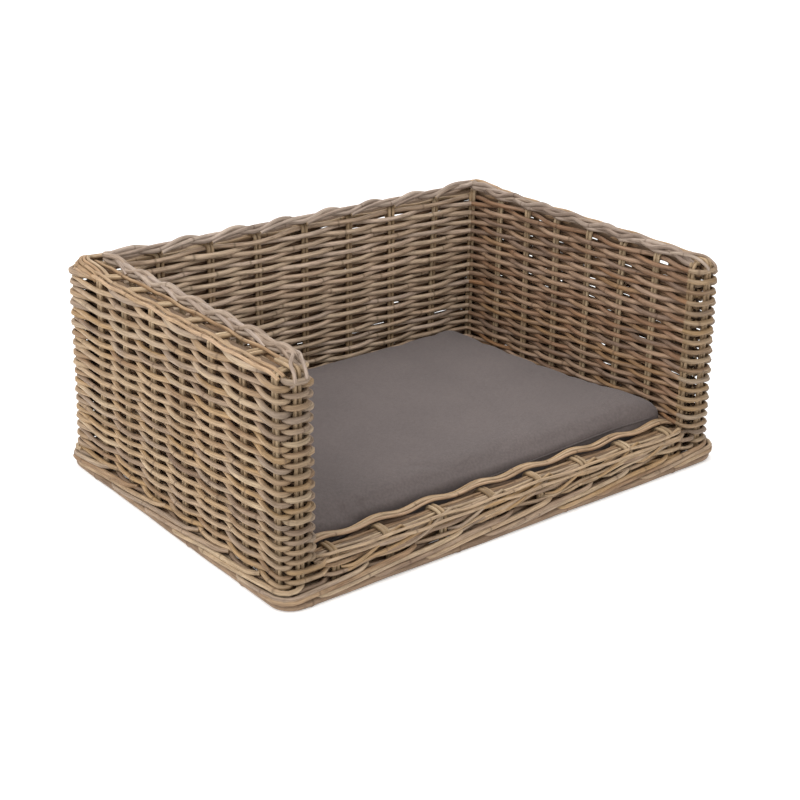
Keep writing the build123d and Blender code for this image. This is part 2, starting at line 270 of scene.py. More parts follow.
def grow(points, radius, up, tone, closed, knots, bulge, sides):
    """The rings of one cane, with its growth rings and slight unevenness."""
    p = np.asarray(points, float)
    n = len(p)
    if closed:
        tangent = np.roll(p, -1, axis=0) - np.roll(p, 1, axis=0)
    else:
        tangent = np.gradient(p, axis=0)
    tangent = unit(tangent)
    side = unit(np.cross(tangent, np.broadcast_to(np.asarray(up, float), p.shape)))
    over = np.cross(side, tangent)
    along = distance(p)
    size = radius * (1 + 0.035 * np.sin(along * rng.uniform(25, 60) + rng.uniform(0, 6.28)))
    knot = np.zeros(n)
    if knots:
        at = rng.uniform(0.02, 0.25)
        while at < along[-1]:
            k = int(np.argmin(abs(along - at)))
            knot[k] = 1
            size[k] *= bulge
            at += rng.uniform(0.12, 0.30)
    angle = np.arange(sides) / sides * 2 * math.pi + rng.uniform(0, 1)
    ring = np.cos(angle)[None, :, None] * side[:, None, :] + np.sin(angle)[None, :, None] * over[:, None, :]
    grain = np.empty((n, sides, 3))
    grain[:, :, 0] = along[:, None] + rng.uniform(0, 40)
    grain[:, :, 1] = np.cos(angle)[None, :] * radius
    grain[:, :, 2] = np.sin(angle)[None, :] * radius
    return {
        "points": p,
        "tangent": tangent,
        "verts": p[:, None, :] + ring * size[:, None, None],
        "grain": grain,
        "knot": knot,
        "tone": rng.random() if tone is None else tone,
        "radius": radius,
        "closed": closed,
    }


def pick_tone():
    """A tone that is mostly middling, and now and then pale or dark."""
    return float(rng.beta(1.5, 1.5))


class Canes:
    """Collects round canes into one mesh, with what the cane material reads."""

    LAYERS = ("cane_grain", "cane_tone", "cane_knot", "cane_end")

    def __init__(self, sides=10):
        self.sides = sides
        self.verts = []
        self.faces = []
        self.layers = {name: [] for name in self.LAYERS}
        self.count = 0

    def _store(self, verts, *values):
        """Keeps vertices with a value for each layer, and says where they start."""
        self.verts.append(verts)
        for layer, value in zip(self.layers.values(), values):
            layer.append(value)
        self.count += len(verts)
        return self.count - len(verts)

    def add(self, points, radius, up=(0, 0, 1), tone=None, closed=False, knots=True, bulge=1.07):
        """One cane along points. up is never parallel to the cane."""
        cane = grow(points, radius, up, tone, closed, knots, bulge, self.sides)
        self.put(cane, 0, len(cane["points"]))

    def put(self, cane, low, high):
        """The samples low to high of a grown cane, with both ends capped unless it is closed."""
        verts = cane["verts"][low:high]
        n, m = verts.shape[:2]
        closed = cane["closed"]
        grain = cane["grain"][low:high].reshape(-1, 3)
        tone = np.full(n * m, cane["tone"])
        knot = np.repeat(cane["knot"][low:high], m)
        start = self._store(verts.reshape(-1, 3), grain, tone, knot, np.zeros(n * m))
        a = np.arange(m)
        b = np.roll(a, -1)
        rows = np.arange(n if closed else n - 1)
        lower = start + rows[:, None] * m
        upper = start + ((rows + 1) % n)[:, None] * m
        self.faces.append(np.stack([lower + a, lower + b, upper + b, upper + a], axis=2).reshape(-1, 4))
        if closed:
            return
        for k, outward in ((0, -1), (n - 1, 1)):
            tip = cane["points"][low + k] + cane["tangent"][low + k] * outward * cane["radius"] * 0.25
            self._cap(verts[k], tip, cane["grain"][low + k], cane["tone"], outward)

    def _cap(self, ring, tip, grain, tone, outward):
        """Closes one end of a cane with a low cone."""
        m = self.sides
        verts = np.concatenate([ring, tip[None]])
        grain = np.concatenate([grain, grain.mean(axis=0)[None]])
        start = self._store(verts, grain, np.full(m + 1, tone), np.zeros(m + 1), np.ones(m + 1))
        a = start + np.arange(m)
        b = np.roll(a, -1)
        tips = np.full(m, start + m)
        order = (a, b, tips, tips) if outward > 0 else (b, a, tips, tips)
        self.faces.append(np.stack(order, axis=1))

    def build(self, name, material):
        """The mesh object."""
        verts = np.concatenate(self.verts)
        faces = np.concatenate(self.faces)
        triangles = faces[:, 2] == faces[:, 3]
        sizes = np.where(triangles, 3, 4)
        corners = faces[np.arange(4)[None, :] < sizes[:, None]]
        mesh = bpy.data.meshes.new(name)
        mesh.vertices.add(len(verts))
        mesh.vertices.foreach_set("co", verts.astype(np.float32).ravel())
        mesh.loops.add(len(corners))
        mesh.loops.foreach_set("vertex_index", corners.astype(np.int32))
        mesh.polygons.add(len(faces))
        starts = np.concatenate([[0], np.cumsum(sizes)[:-1]])
        mesh.polygons.foreach_set("loop_start", starts.astype(np.int32))
        mesh.update(calc_edges=True)
        mesh.validate()
        for layer, values in self.layers.items():
            values = np.concatenate(values)
            kind, field = ("FLOAT_VECTOR", "vector") if values.ndim > 1 else ("FLOAT", "value")
            data = mesh.attributes.new(layer, kind, "POINT").data
            data.foreach_set(field, values.astype(np.float32).ravel())
        mesh.shade_smooth()
        mesh.materials.append(material)
        return link(name, mesh)


# ---- materials ----


def linear(code):
    """A colour as Blender takes it, from its usual hexadecimal code."""
    values = [int(code[k : k + 2], 16) / 255 for k in (0, 2, 4)]
    return [v / 12.92 if v <= 0.04045 else ((v + 0.055) / 1.055) ** 2.4 for v in values] + [1.0]


class Look:
    """A material in the making, with the few kinds of node that these looks need."""

    def __init__(self, name):
        self.material = bpy.data.materials.new(name)
        self.material.use_nodes = True
        self.nodes = self.material.node_tree.nodes
        self.nodes.clear()
        self.shader = self.nodes.new("ShaderNodeBsdfPrincipled")
        self.plug(self.nodes.new("ShaderNodeOutputMaterial").inputs[0], self.shader.outputs[0])

    def plug(self, socket, value):
        """Feeds a socket from another one, or gives it a constant."""
        if isinstance(value, bpy.types.NodeSocket):
            self.material.node_tree.links.new(value, socket)
        else:
            socket.default_value = value

    def node(self, kind, inputs):
        """A node with its inputs, by name or number."""
        node = self.nodes.new(kind)
        for key, value in inputs.items():
            self.plug(node.inputs[key], value)
        return node

    def attribute(self, name, output="Fac"):
        node = self.nodes.new("ShaderNodeAttribute")
        node.attribute_name = name
        return node.outputs[output]

    def place(self):
        """The object's own coordinates."""
        return self.nodes.new("ShaderNodeTexCoord").outputs["Object"]

    def math(self, operation, a, b):
        node = self.node("ShaderNodeMath", {0: a, 1: b})
        node.operation = operation
        return node.outputs[0]

    def mix(self, kind, share, a, b):
        """Two colours mixed or multiplied by a share."""
        node = self.nodes.new("ShaderNodeMix")
        node.data_type = "RGBA"
        node.blend_type = kind
        for key, value in ((0, share), (6, a), (7, b)):
            self.plug(node.inputs[key], value)
        return node.outputs[2]

    def ramp(self, source, *stops):
        """Colours or greys by value: each stop is a place and what it shows."""
        node = self.node("ShaderNodeValToRGB", {0: source})
        elements = node.color_ramp.elements
        while len(elements) < len(stops):
            elements.new(0.5)
        for element, (place, colour) in zip(elements, stops):
            element.position = place
            element.color = colour if isinstance(colour, (list, tuple)) else (colour, colour, colour, 1)
        return node.outputs[0]

    def noise(self, vector, scale, detail, roughness=0.5):
        inputs = {"Vector": vector, "Scale": scale, "Detail": detail, "Roughness": roughness}
        return self.node("ShaderNodeTexNoise", inputs).outputs["Fac"]

    def grain(self, scale, stretch, detail, roughness=0.55):
        """Noise that is drawn out along the cane."""
        grain = self.attribute("cane_grain", "Vector")
        mapping = self.node("ShaderNodeVectorMath", {0: grain, 1: (stretch, 1.0, 1.0)})
        mapping.operation = "MULTIPLY"
        return self.noise(mapping.outputs[0], scale, detail, roughness)

    def finish(self, height, strength, depth, inputs):
        """The material, once the shader has its inputs and a bump."""
        bump = self.node("ShaderNodeBump", {"Strength": strength, "Distance": depth, "Height": height})
        for key, value in {**inputs, "Normal": bump.outputs[0]}.items():
            self.plug(self.shader.inputs[key], value)
        return self.material


STAIN, KNOT, CUT_END, PEELED = "4A3626", "4B3524", "B79E7C", "5E4A38"


def cane_material(name, palette, dark=0.30, rough=0.62, painted_shade=None):
    """Dry cane: one tone per cane, streaks along it, dark rings at its knots and pale cut ends. It may also
    carry painted shade that darkens it along Y.
    """
    look = Look(name)
    steps = [(k / (len(palette) - 1), linear(code)) for k, code in enumerate(palette)]
    drift = look.math("MULTIPLY", look.math("SUBTRACT", look.grain(60.0, 0.12, 2.0), 0.5), 0.45)
    colour = look.ramp(look.math("ADD", look.attribute("cane_tone"), drift), *steps)
    streaks = look.grain(520.0, 0.06, 4.0, 0.65)
    streak_tone = look.ramp(streaks, (0.34, (0.50, 0.47, 0.44, 1)), (0.60, (1.10, 1.09, 1.07, 1)))
    colour = look.mix("MULTIPLY", 0.85, colour, streak_tone)
    stains = look.ramp(look.grain(150.0, 0.5, 3.0), (0.56, 0), (0.74, 1))
    colour = look.mix("MIX", look.math("MULTIPLY", stains, dark), colour, linear(STAIN))
    if painted_shade:
        # Painted shade: the colour is multiplied by a factor that falls along Y towards the front.
        parts = look.node("ShaderNodeSeparateXYZ", {0: look.place()})
        fade = look.node("ShaderNodeMapRange", {"Value": parts.outputs["Y"], **painted_shade}).outputs[0]
        grey = look.node("ShaderNodeCombineXYZ", {0: fade, 1: fade, 2: fade})
        colour = look.mix("MULTIPLY", 1.0, colour, grey.outputs[0])
    knots = look.ramp(look.attribute("cane_knot"), (0.55, 0), (0.95, 1))
    colour = look.mix("MIX", look.math("MULTIPLY", knots, 0.55), colour, linear(KNOT))
    ends = look.math("MULTIPLY", look.attribute("cane_end"), 0.7)
    colour = look.mix("MIX", ends, colour, linear(CUT_END))
    roughness = look.ramp(streaks, (0.3, rough + 0.12), (0.7, rough - 0.08))
    inputs = {"Base Color": colour, "Roughness": roughness, "Specular IOR Level": 0.35}
    return look.finish(streaks, 0.35, 0.0006, inputs)


def plain_cane(name, code):
    """Peeled cane for the hidden frame, whose grain follows the object's own axes."""
    look = Look(name)
    noise = look.noise(look.place(), 45.0, 4.0)
    colour = look.ramp(noise, (0.3, linear(PEELED)), (0.7, linear(code)))
    return look.finish(noise, 0.3, 0.001, {"Base Color": colour, "Roughness": 0.7})


GREY = ["8B796C", "9E8D80", "AB9A8A", "94806F", "A49387", "B2A191"]
OUTER = ["7C6552", "9B8570", "AE967A", "A1835D", "968372", "B59F82", "8B6F54", "A88F72"]
INNER = ["725B48", "947B66", "86654C", "A38872", "8F6F4E", "A58B77", "7D6758", "98714F"]
GOLD = ["A68A68", "B1957A", "9A7B5C", "B59E82", "927455", "BBA283"]
STAKE = ["A38A6B", "B0987A", "967F63", "B8A284", "8D765A"]
FOOT = ["8A715A", "A0866C", "7B6551", "AC9278"]
DARK = ["8A6D54", "97795D", "7A5F49"]
# Painted light: the inside of the back takes this palette, far lighter than INNER, so that it looks more
# brightly lit than the inner skins of the arms.
BACK_PAINTED_LIGHT = ["A08B75", "BAA48D", "AC947D", "C4AE95", "B69C83", "C6B09C", "A59282"]
# Painted shade for the arms: the colour falls to 0.76 of itself between Y -0.245 and -0.292, darkening the
# fronts of the arms and the noses as if in shade.
NOSE_PAINTED_SHADE = {"From Min": -0.292, "From Max": -0.245, "To Min": 0.76, "To Max": 1.0}

outer_cane = cane_material("outer_cane", OUTER)
arm_cane = cane_material("arm_cane", OUTER, painted_shade=NOSE_PAINTED_SHADE)
# The inside of the back: the inner cane made lighter, as painted light.
back_cane = cane_material("back_cane", BACK_PAINTED_LIGHT)
inner_cane = cane_material("inner_cane", INNER)
gold_cane = cane_material("gold_cane", GOLD, dark=0.2)
grey_cane = cane_material("grey_cane", GREY)
stake_cane = cane_material("stake_cane", STAKE)
dark_cane = cane_material("dark_cane", DARK, dark=0.5)
foot_cane = cane_material("foot_cane", FOOT, dark=0.4)
frame_cane = plain_cane("frame_cane", "6E573F")


def hand_over(obj, body, slot, *nodes):
    """Parents a piece to the empty of its body and hides the CAD nodes that it replaces."""
    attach(obj, body)
    if nodes:
        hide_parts(*nodes)


def basket_piece(canes, name, material, slot, *nodes):
    """Builds canes into a piece of the basket."""
    hand_over(canes.build(name, material), "basket", slot, *nodes)


# ---- weaving ----


def wobble(s, row, seed, size):
    """A smooth unevenness that neighbouring rows share."""
    total = np.zeros_like(s)
    local = np.random.default_rng(seed)
    for _ in range(5):
        wave = local.uniform(6, 28)
        lean_rate = local.uniform(-0.35, 0.35)
        total += np.sin(s * wave + row * lean_rate + local.uniform(0, 6.28))
    return total * size / 2.2


def weave_row(line, row):
    """Samples of one closed row: distance along, sideways offset, which stake each belongs to."""
    order = np.argsort(line.stakes)
    stakes = line.stakes[order]
    sides = 1 - 2 * ((line.parity[order] + row) % 2)
    reaches = np.where(line.tight[order] & (sides < 0), CORNER_TUCK, sides)
    s_all, off_all, marks = [], [], []
    count = len(stakes)
    for k in range(count):
        s0 = stakes[k]
        s1 = stakes[(k + 1) % count] + (line.length if k == count - 1 else 0)
        steps = max(9, int((s1 - s0) / STEP))
        u = np.arange(steps) / steps
        reach = s1 - s0
        flat = min(FLAT, reach / 4)
        eased = np.clip((u * reach - flat) / (reach - 2 * flat), 0, 1)
        blend = 0.5 - 0.5 * np.cos(math.pi * eased)
        s_all.append(s0 + reach * u)
        off_all.append(reaches[k] * (1 - blend) + reaches[(k + 1) % count] * blend)
        marks += [k] + [-1] * (steps - 1)
    return np.concatenate(s_all), np.concatenate(off_all), np.array(marks), sides


def choose_breaks(marks, sides, s, length):
    """Indices of the samples where one cane of a row gives way to the next, always behind a stake."""
    places = [i for i in range(len(marks)) if marks[i] >= 0 and sides[marks[i]] < 0]
    start = int(rng.integers(len(places)))
    chosen = [places[start]]
    last = s[places[start]]
    reach = rng.uniform(0.6, 1.5)
    for j in range(1, len(places)):
        i = places[(start + j) % len(places)]
        travelled = (s[i] - last) % length
        left = (s[chosen[0]] - s[i]) % length
        if travelled > reach and left > 0.4:
            chosen.append(i)
            last = s[i]
            reach = rng.uniform(0.6, 1.5)
    return chosen


def add_row(walls, line, z, row, radius, top=1.0, size=0.0013):
    """Weaves one row of canes into the walls that it runs through. Near the top it follows the hoops in."""
    climb = min(1.0, max(0.0, (z - top + BEND_R) / BEND_R))
    bend = 0.7 * BEND_R * (1 - math.sqrt(1 - climb * climb))
    s, off, marks, sides = weave_row(line, row)
    breaks = choose_breaks(marks, sides, s, line.length)
    total = len(s)
    overlap = 3
    for k, begin in enumerate(breaks):
        finish = breaks[(k + 1) % len(breaks)]
        span = (finish - begin) % total or total
        index = np.arange(begin - overlap, begin + span + overlap + 1)
        ss = s[index % total] + np.floor(index / total) * line.length
        thick = radius * rng.uniform(0.90, 1.10)
        offset = off[index % total] * (STAKE_R + thick)
        tuck = np.clip(1 - np.arange(len(index)) / (2.0 * overlap), 0, 1)
        offset = offset - 0.006 * tuck
        xy, normal = line.at(ss)
        offset = offset - bend
        height = z + wobble(np.mod(ss, line.length), row, 5, size)
        height += 0.0007 * np.sin(ss * rng.uniform(20, 45) + rng.uniform(0, 6.28))
        points = np.column_stack([xy + normal * offset[:, None], height])
        spread(grow(points, thick, (0, 0, 1), pick_tone(), False, True, 1.07, SIDES), walls, xy, wall_name)


def wall_name(x, y):
    """The wall that holds this point in plan."""
    if y > hy(0) - CORNER_R or (y > INNER_BACK and abs(x) < INNER_X + SKIN):
        return "back_outer" if y > (INNER_BACK + hy(0)) / 2 else "back_inner"
    if abs(x) < INNER_X:
        return "front_outer" if y < (INNER_FRONT - hy(0)) / 2 else "front_inner"
    arm = "left_arm" if x < 0 else "right_arm"
    if y < -hy(0) + CORNER_R:
        return arm + "_nose"
    return arm + ("_outer" if abs(x) > (INNER_X + hx(0)) / 2 else "_inner")


def spread(cane, pieces, xy, holder):
    """Puts each stretch of a cane in the piece that holds it."""
    names = [holder(x, y) for x, y in xy]
    low = 0
    for k in range(1, len(names) + 1):
        if k == len(names) or names[k] != names[low]:
            high = min(k + 1, len(names))
            if high - low > 2:
                pieces[names[low]].put(cane, low, high)
            low = k


WALLS = {
    "left_arm_outer": arm_cane,
    "right_arm_outer": arm_cane,
    "left_arm_inner": inner_cane,
    "right_arm_inner": inner_cane,
    "left_arm_nose": arm_cane,
    "right_arm_nose": arm_cane,
    "back_outer": outer_cane,
    "back_inner": back_cane,
    "front_outer": outer_cane,
    "front_inner": inner_cane,
}
walls = {name: Canes(SIDES) for name in WALLS}
row = -1
z = FOOT_TOP + 0.0030
NOSE_SAME = (25, 47)
while z < HOOP_TOP - 0.0015:
    share = z / HEIGHT
    pitch = 0.0075 + 0.0017 * share
    radius = pitch * 0.485
    if z < FRONT_HOOP_TOP - BEND_R + 0.003:
        add_row(walls, Line(*outer_ring(z)), z, row, radius, FRONT_HOOP_TOP)
        add_row(walls, Line(*inner_ring(z)), z, row, radius, FRONT_HOOP_TOP)
    else:
        add_row(walls, Line(*wall_loop(z), same=NOSE_SAME), z, row, radius, HOOP_TOP)
    z += pitch
    row += 1
for name, canes in walls.items():
    node = name.replace("front_", "front_rail_") + "_skin"
    basket_piece(canes, name + "_weave", WALLS[name], "weaver_cane", node)


# ---- canes packed between the two skins ----


PACKING_LOW = FOOT_TOP + 0.004


def packing_line(z):
    """Round the hollow between the skins, close behind the outer one and across both noses."""
    x = hx(z) - SKIN - 0.0075
    y = hy(z) - SKIN - 0.0080
    front = hy(z) - SKIN - 0.0029
    inside = INNER_X + SKIN + 0.004
    return [(-inside, -front), (-x, -front), (-x, y), (x, y), (x, -front), (inside, -front)]


def inner_packing_line(z):
    """Round the hollow between the skins, close behind the inner one."""
    x = INNER_X + SKIN + 0.0026
    y = INNER_BACK + SKIN + 0.0026
    front = hy(z) - SKIN - 0.0029
    return [(-x, -front), (-x, y), (x, y), (x, -front)]


packing = Canes(6)
for place in (packing_line, inner_packing_line):
    for k, z in enumerate(np.arange(PACKING_LOW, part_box("back_top_rail")[0].z - 0.004, 0.0066)):
        s, xy = dense(place(z), False)
        start = 0.0
        while start < s[-1]:
            end = min(s[-1], start + rng.uniform(0.35, 0.9))
            keep = (s >= start) & (s < end)
            points = np.column_stack([xy[keep][::5], np.full(keep.sum(), z)[::5]])
            if len(points) > 3:
                points[:, 2] += 0.0012 * np.sin(np.arange(len(points)) * 0.35 + k)
                packing.add(points, 0.0026, tone=rng.random(), knots=False)
            start = end + rng.uniform(0.004, 0.03)
# Painted shade: two thick dark rings behind the foot pole fill the gap under the wale, so that it shows
# dark like shade instead of the floor.
for z in (0.0085, 0.0165):
    x = hx(0) - 0.0125
    y = hy(0) - 0.0125
    xy = dense(corners(x, -y, y, 0.012, 0, 90), True)[1][:-1:4]
    packing.add(np.column_stack([xy, np.full(len(xy), z)]), 0.0050, closed=True, knots=False)
basket_piece(packing, "wall_packing_canes", dark_cane, "weaver_cane")
rail_packing = Canes(6)
for z in np.arange(PACKING_LOW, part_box("front_top_rail")[0].z - 0.003, 0.0060):
    y = (INNER_FRONT - SKIN - hy(z) + SKIN) / 2
    xs = np.arange(-INNER_X - 0.02, INNER_X + 0.02, 0.012)
    points = np.column_stack([xs, y + 0.001 * np.sin(xs * 20 + z * 900), np.full(len(xs), z)])
    for shift, radius in ((0.0, 0.0030), (0.0055, 0.0028), (-0.0110, 0.0028)):
        points[:, 1] += shift
        rail_packing.add(points, radius, knots=False)
basket_piece(rail_packing, "rail_packing_canes", dark_cane, "weaver_cane")


# ---- stakes ----


PAIR_HALF = STAKE_R + STAKE_GAP / 2
LEAN, LEAN_APART = 0.0022, 0.0007
STAKE_STEP = 0.012


def hoop(canes, outer, inner, top, run, shift, lean):
    """One cane up the outer skin, over the top and down the inner skin. run points along the wall."""
    z_top = top - BEND_R
    tall = np.arange(FOOT_TOP * 0.5, z_top, STAKE_STEP)

    def leg(stand, z):
        return np.array(stand(z)) + shift, run * (lean * max(0.0, z / top) ** 2)

    o_top, i_top = leg(outer, z_top)[0], leg(inner, z_top)[0]
    lent = leg(outer, top)[1]
    across = i_top - o_top
    width = np.linalg.norm(across)
    across /= width
    points = [(*sum(leg(outer, z)), z) for z in tall]
    for a in np.radians(np.arange(0, 91, 15)):
        points.append((*(o_top + across * BEND_R * (1 - math.cos(a)) + lent), z_top + BEND_R * math.sin(a)))
    for share in (0.25, 0.5, 0.75):
        points.append((*(o_top + across * (BEND_R + (width - 2 * BEND_R) * share) + lent), top + 0.0006))
    for a in np.radians(np.arange(90, 181, 15)):
        points.append((*(i_top - across * BEND_R * (1 + math.cos(a)) + lent), z_top + BEND_R * math.sin(a)))
    points += [(*sum(leg(inner, z)), z) for z in tall[::-1] if z > FOOT_TOP + 0.006]
    canes.add(points, STAKE_R * rng.uniform(0.95, 1.06), up=(run[0], run[1], 0.0))


def add_pair(canes, outer, inner, top, run):
    """A pair of hoops, side by side along run, whose tops lean together by chance."""
    run = np.array(run, float)
    shared = rng.normal(0, LEAN)
    for sign in (-1, 1):
        shift = sign * PAIR_HALF * run / math.hypot(*run)
        hoop(canes, outer, inner, top, run, shift, shared + rng.normal(0, LEAN_APART))


def hoop_piece(name, count, outer, inner, top, run):
    """A piece of pairs in a row, given where the pair k stands at a height."""
    canes = Canes()
    for k in range(count):
        add_pair(canes, lambda z, k=k: outer(z, k), lambda z, k=k: inner(z, k), top, run)
    basket_piece(canes, f"{name}_hoops", stake_cane, "stake_cane", f"{name}_stakes")


hoop_piece(
    "back", BACK_INTERVALS - 1,
    lambda z, k: (back_legs(z, False)[k], hy(z) - HALF_SKIN),
    lambda z, k: (back_legs(z, True)[k], INNER_BACK + HALF_SKIN),
    HOOP_TOP, (1, 0),
)

DIAGONAL = math.sqrt(0.5)
for side, name in HALVES:
    hoop_piece(
        f"{name}_arm", ARM_INTERVALS - 1,
        lambda z, k: (side * (hx(z) - HALF_SKIN), arm_legs(z, False)[k]),
        lambda z, k: (side * (INNER_X + HALF_SKIN), arm_legs(z, True)[k]),
        HOOP_TOP, (0, 1),
    )
    inset = INNER_CORNER_R * (1 - DIAGONAL)
    hoop_piece(
        f"{name}_corner", 1,
        lambda z, k: (side * corner_leg(z)[0], corner_leg(z)[1]),
        lambda z, k: (side * (INNER_X + HALF_SKIN - inset), INNER_BACK + HALF_SKIN - inset),
        HOOP_TOP, (DIAGONAL, -side * DIAGONAL),
    )
    nose = Canes()
    add_pair(
        nose,
        lambda z: (side * (hx(z) - HALF_SKIN), -hy(z) + CORNER_R),
        lambda z: (side * (INNER_X + HALF_SKIN), -hy(z) + CORNER_R),
        HOOP_TOP, (0, 1),
    )
    over = HOOP_TOP + 2 * STAKE_R
    turn_r = 0.008
    for dx in (-PAIR_HALF, PAIR_HALF):
        points = [
            (side * (hx(z) + INNER_X) / 2 + dx, -hy(z) + HALF_SKIN, z)
            for z in np.arange(0.008, over - turn_r, STAKE_STEP)
        ]
        x, y = points[-1][:2]
        for a in np.radians(np.arange(15, 91, 15)):
            points.append((x, y + turn_r * (1 - math.cos(a)), over - turn_r + turn_r * math.sin(a)))
        y = points[-1][1]
        points += [(x, y + STAKE_STEP * k, over) for k in (1, 2, 3)]
        nose.add(points, STAKE_R, up=(1, 0, 0))
    basket_piece(nose, f"{name}_nose_hoops", stake_cane, "stake_cane", f"{name}_nose_stakes")

hoop_piece(
    "front_rail", FRONT_PAIRS,
    lambda z, k: (front_legs()[k], -hy(z) + HALF_SKIN),
    lambda z, k: (front_legs()[k], INNER_FRONT - HALF_SKIN),
    FRONT_HOOP_TOP, (1, 0),
)


# ---- borders ----


def smooth_humps(s, stops):
    """1 over each stop and 0 midway between two of them."""
    stops = np.sort(np.asarray(stops))
    phase = np.interp(s, stops, np.arange(len(stops)))
    return 0.5 + 0.5 * np.cos(2 * math.pi * phase)


def run_rod(canes, start, end, stops, radius, lift, drop, sway, along_x, sag_ends=0.004, tuck=0.0):
    """A border rod laid over hoops: it drops a little and sways between them."""
    count = int(np.linalg.norm(np.subtract(end, start)) / 0.006)
    share = np.linspace(0, 1, count)
    points = np.array(start)[None, :] + share[:, None] * np.subtract(end, start)[None, :]
    s = points[:, 0] if along_x else points[:, 1]
    over = smooth_humps(s, stops)
    phase = rng.uniform(0, 6.28)
    points[:, 2] += lift * over - drop * (1 - over)
    swing = sway * np.sin(np.interp(s, np.sort(stops), np.arange(len(stops))) * math.pi + phase)
    points[:, 1 if along_x else 0] += swing
    ends = np.minimum(share, 1 - share) * count * 0.006
    dip = (1 - np.clip(ends / 0.03, 0, 1)) ** 2
    points[:, 2] -= sag_ends * dip
    points[:, 1 if along_x else 0] += tuck * dip
    canes.add(points, radius, tone=pick_tone())


hoop_over = HOOP_TOP + STAKE_R
UNDER_HOOPS = HOOP_TOP - STAKE_R - 0.0031
# Each rod: inset from the outer face, height, radius. The low ones run under the hoops.
RODS = (
    (0.0060, hoop_over - 0.0052, 0.0031),
    (0.0112, hoop_over + 0.0002, 0.0027),
    (0.0150, UNDER_HOOPS, 0.0029),
    (0.0212, UNDER_HOOPS - 0.0006, 0.0030),
    (0.0272, UNDER_HOOPS, 0.0028),
)
ARM_RODS = RODS + ((0.0332, UNDER_HOOPS - 0.0004, 0.0030), (0.0380, hoop_over + 0.0020, 0.0028))
BACK_RODS = RODS + ((0.0330, UNDER_HOOPS - 0.0004, 0.0030),)
nose_y = -hy(HOOP_TOP) + CORNER_R
for side, name in HALVES:
    stops = [nose_y] + arm_legs(HOOP_TOP, False) + [corner_leg(HOOP_TOP)[1]]
    border = Canes()
    front = -hy(HOOP_TOP) + HALF_SKIN + 0.004
    back_end = corner_leg(HOOP_TOP)[1] - 0.002
    for inset, z0, radius in ARM_RODS:
        x = side * (hx(HOOP_TOP) - inset)
        y0 = front + rng.uniform(0, 0.010)
        run_rod(
            border, (x, y0, z0), (x, back_end, z0),
            stops, radius, 0.0004, 0.0018, 0.0012, False, sag_ends=0.007, tuck=-side * 0.002,
        )
    basket_piece(border, f"{name}_arm_outer_rods", gold_cane, "border_cane", f"{name}_arm_outer_border")

border = Canes()
reach = corner_leg(HOOP_TOP)[0]
stops = [-reach] + back_legs(HOOP_TOP, False) + [reach]
for inset, z0, radius in BACK_RODS:
    y = hy(HOOP_TOP) - inset
    run_rod(border, (-reach, y, z0), (reach, y, z0), stops, radius, 0.0004, 0.0018, 0.0012, True)
basket_piece(border, "back_outer_rods", gold_cane, "border_cane", "back_outer_border")


# Each rod round a back corner: radius of its turn, and height over the hoops.
CORNER_RODS = ((0.0310, -0.0030), (0.0265, 0.0022), (0.0205, 0.0042), (0.0140, 0.0050))
for side, name in HALVES:
    turn = Canes()
    centre = (hx(HOOP_TOP) - 0.0375, hy(HOOP_TOP) - 0.0375)
    for radius, rise_z in CORNER_RODS:
        tail = rng.uniform(0.050, 0.075)
        line = [(centre[0] + radius, centre[1] - tail * u) for u in np.linspace(1, 0.1, 9)]
        line += arc(centre[0], centre[1], radius, 0, 90)
        tail = rng.uniform(0.050, 0.075)
        line += [(centre[0] - tail * u, centre[1] + radius) for u in np.linspace(0.1, 1, 9)]
        share = np.linspace(-1, 1, len(line))
        heights = hoop_over + rise_z + 0.0040 * np.exp(-((share / 0.45) ** 2)) - 0.0080 * share**8
        points = np.column_stack([np.array(line), heights])
        points[:, 0] *= side
        turn.add(points, 0.0029 * rng.uniform(0.92, 1.08), tone=pick_tone())
    basket_piece(turn, f"{name}_corner_rods", gold_cane, "border_cane")


def spline(knots, count):
    """A smooth curve through the knots."""
    knots = np.array(knots, float)
    padded = np.vstack([2 * knots[0] - knots[1], knots, 2 * knots[-1] - knots[-2]])
    points = []
    for k in range(len(knots) - 1):
        a, b, c, d = padded[k : k + 4]
        square, cube = 2 * a - 5 * b + 4 * c - d, 3 * b - a - 3 * c + d
        for u in np.linspace(0, 1, max(3, count // (len(knots) - 1)), endpoint=False):
            points.append(0.5 * (2 * b + (c - a) * u + square * u**2 + cube * u**3))
    points.append(knots[-1])
    return np.array(points)


